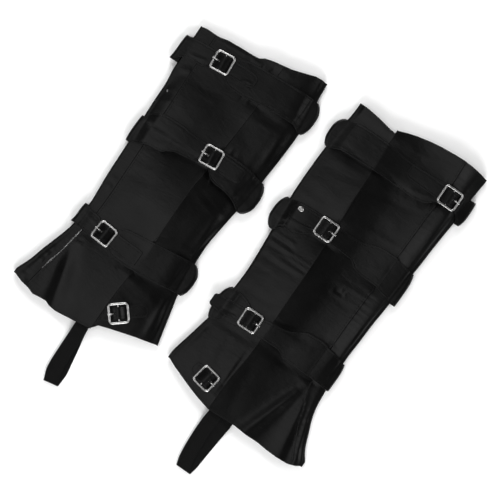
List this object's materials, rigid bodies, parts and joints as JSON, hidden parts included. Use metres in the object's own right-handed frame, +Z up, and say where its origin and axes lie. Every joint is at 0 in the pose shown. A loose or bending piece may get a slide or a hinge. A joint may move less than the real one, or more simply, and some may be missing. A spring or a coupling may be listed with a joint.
{
  "type": "pair of boot covers",
  "caption": "Pair of flat-laid calf-height boot covers in soft black leather cloth, with buckled belts round each, a buckled instep strap and an elastic stirrup.",
  "frame": {"origin": "middle of the pair's footprint, on the surface that it lies on", "axes": "+Y along the covers from hem to top, +X across the pair from the left cover to the right one, +Z up from the surface"},
  "size_m": [0.4452, 0.5389, 0.0197],
  "materials": {
    "leather": "soft black faux leather with a low satin sheen and fine creases",
    "elastic": "matt black ribbed elastic",
    "metal": "polished nickel-coloured plating"
  },
  "bodies": {
    "root": {"left_wide_panel": "leather", "left_narrow_panel": "leather", "left_closure_strip": "leather", "left_under_panel": "leather", "left_strap1_pad": "leather", "left_strap1_tongue": "leather", "left_strap1_band": "leather", "left_strap1_buckle": "metal", "left_strap1_prong": "metal", "left_strap2_pad": "leather", "left_strap2_tongue": "leather", "left_strap2_band": "leather", "left_strap2_buckle": "metal", "left_strap2_prong": "metal", "left_strap3_pad": "leather", "left_strap3_tongue": "leather", "left_strap3_band": "leather", "left_strap3_buckle": "metal", "left_strap3_prong": "metal", "left_instep_strap": "leather", "left_instep_buckle": "metal", "left_instep_prong": "metal", "left_stirrup": "elastic", "right_wide_panel": "leather", "right_narrow_panel": "leather", "right_closure_strip": "leather", "right_under_panel": "leather", "right_strap1_pad": "leather", "right_strap1_tongue": "leather", "right_strap1_band": "leather", "right_strap1_buckle": "metal", "right_strap1_prong": "metal", "right_strap2_pad": "leather", "right_strap2_tongue": "leather", "right_strap2_band": "leather", "right_strap2_buckle": "metal", "right_strap2_prong": "metal", "right_strap3_pad": "leather", "right_strap3_tongue": "leather", "right_strap3_band": "leather", "right_strap3_buckle": "metal", "right_strap3_prong": "metal", "right_instep_strap": "leather", "right_instep_buckle": "metal", "right_instep_prong": "metal", "right_stirrup": "elastic"}
  },
  "joints": []
}
